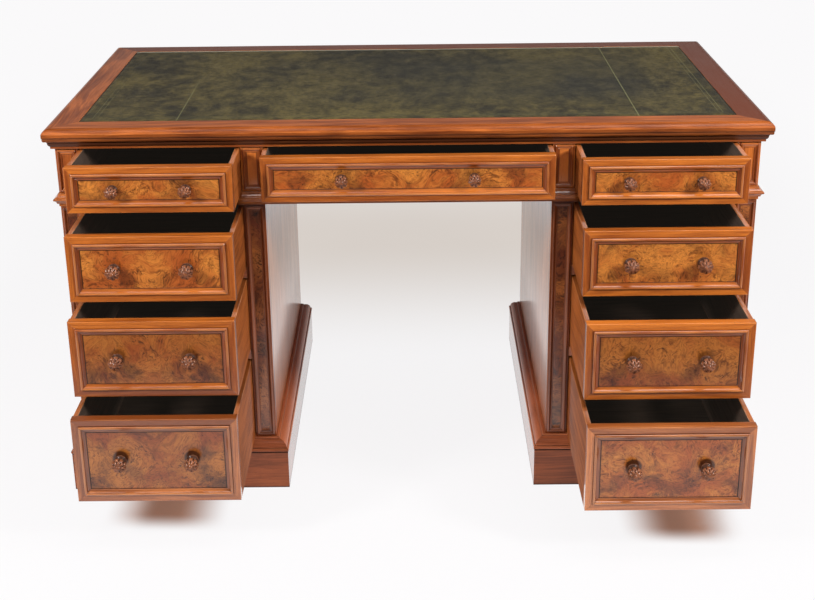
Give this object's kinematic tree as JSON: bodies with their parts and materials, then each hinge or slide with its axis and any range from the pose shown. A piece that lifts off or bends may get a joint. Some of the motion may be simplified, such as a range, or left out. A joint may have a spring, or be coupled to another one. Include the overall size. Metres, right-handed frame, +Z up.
{
  "type": "pedestal desk",
  "caption": "Walnut pedestal desk with an inset leather writing surface, moulded edges, a frieze with drawers, and pedestals of burr-panelled drawers with carved knobs",
  "frame": {"origin": "on the floor, under the middle of the box round the desk as it stands with its drawers pulled out", "axes": "+X to the right of the person who sits at it, +Y from the drawers to the back, +Z up"},
  "size_m": [1.392, 1.0994, 0.762],
  "materials": {
    "walnut": "French-polished walnut, glossy",
    "burr_walnut": "French-polished burr walnut, glossy",
    "walnut_knob": "turned and carved walnut, polished",
    "drawer_lining": "waxed drawer boards",
    "carcass_lining": "plain sawn softwood",
    "writing_leather": "dark olive green hide with tooled lines"
  },
  "bodies": {
    "carcass": {"top_border": "walnut", "top_core_board": "carcass_lining", "writing_leather": "writing_leather", "under_top_moulding": "walnut", "frieze_ends_and_back": "walnut", "frieze_rails": "walnut", "frieze_posts": "walnut", "frieze_post_mouldings": "walnut", "frieze_floor": "carcass_lining", "frieze_guides": "carcass_lining", "waist_moulding": "walnut", "locating_dowels": "carcass_lining", "left_pedestal_case": "walnut", "left_pedestal_stiles": "walnut", "left_pedestal_blades": "walnut", "left_pedestal_runners": "carcass_lining", "left_stile_panels": "walnut", "left_plinth": "walnut", "right_pedestal_case": "walnut", "right_pedestal_stiles": "walnut", "right_pedestal_blades": "walnut", "right_pedestal_runners": "carcass_lining", "right_stile_panels": "walnut", "right_plinth": "walnut"},
    "centre_drawer": {"centre_drawer_front": "walnut", "centre_drawer_burr_panel": "burr_walnut", "centre_drawer_box": "drawer_lining", "centre_drawer_knobs": "walnut_knob"},
    "left_frieze_drawer": {"left_frieze_drawer_front": "walnut", "left_frieze_drawer_burr_panel": "burr_walnut", "left_frieze_drawer_box": "drawer_lining", "left_frieze_drawer_knobs": "walnut_knob"},
    "left_upper_drawer": {"left_upper_drawer_front": "walnut", "left_upper_drawer_burr_panel": "burr_walnut", "left_upper_drawer_box": "drawer_lining", "left_upper_drawer_knobs": "walnut_knob"},
    "left_middle_drawer": {"left_middle_drawer_front": "walnut", "left_middle_drawer_burr_panel": "burr_walnut", "left_middle_drawer_box": "drawer_lining", "left_middle_drawer_knobs": "walnut_knob"},
    "left_lower_drawer": {"left_lower_drawer_front": "walnut", "left_lower_drawer_burr_panel": "burr_walnut", "left_lower_drawer_box": "drawer_lining", "left_lower_drawer_knobs": "walnut_knob"},
    "right_frieze_drawer": {"right_frieze_drawer_front": "walnut", "right_frieze_drawer_burr_panel": "burr_walnut", "right_frieze_drawer_box": "drawer_lining", "right_frieze_drawer_knobs": "walnut_knob"},
    "right_upper_drawer": {"right_upper_drawer_front": "walnut", "right_upper_drawer_burr_panel": "burr_walnut", "right_upper_drawer_box": "drawer_lining", "right_upper_drawer_knobs": "walnut_knob"},
    "right_middle_drawer": {"right_middle_drawer_front": "walnut", "right_middle_drawer_burr_panel": "burr_walnut", "right_middle_drawer_box": "drawer_lining", "right_middle_drawer_knobs": "walnut_knob"},
    "right_lower_drawer": {"right_lower_drawer_front": "walnut", "right_lower_drawer_burr_panel": "burr_walnut", "right_lower_drawer_box": "drawer_lining", "right_lower_drawer_knobs": "walnut_knob"}
  },
  "joints": [
    {"name": "centre_slide", "type": "slide", "parent": "carcass", "child": "centre_drawer", "axis": [0, -1, 0], "range_m": [-0.078, 0.402]},
    {"name": "left_frieze_slide", "type": "slide", "parent": "carcass", "child": "left_frieze_drawer", "axis": [0, -1, 0], "range_m": [-0.131, 0.349]},
    {"name": "left_upper_slide", "type": "slide", "parent": "carcass", "child": "left_upper_drawer", "axis": [0, -1, 0], "range_m": [-0.1755, 0.3045]},
    {"name": "left_middle_slide", "type": "slide", "parent": "carcass", "child": "left_middle_drawer", "axis": [0, -1, 0], "range_m": [-0.216, 0.264]},
    {"name": "left_lower_slide", "type": "slide", "parent": "carcass", "child": "left_lower_drawer", "axis": [0, -1, 0], "range_m": [-0.267, 0.213]},
    {"name": "right_frieze_slide", "type": "slide", "parent": "carcass", "child": "right_frieze_drawer", "axis": [0, -1, 0], "range_m": [-0.115, 0.365]},
    {"name": "right_upper_slide", "type": "slide", "parent": "carcass", "child": "right_upper_drawer", "axis": [0, -1, 0], "range_m": [-0.172, 0.308]},
    {"name": "right_middle_slide", "type": "slide", "parent": "carcass", "child": "right_middle_drawer", "axis": [0, -1, 0], "range_m": [-0.25, 0.23]},
    {"name": "right_lower_slide", "type": "slide", "parent": "carcass", "child": "right_lower_drawer", "axis": [0, -1, 0], "range_m": [-0.319, 0.161]}
  ]
}
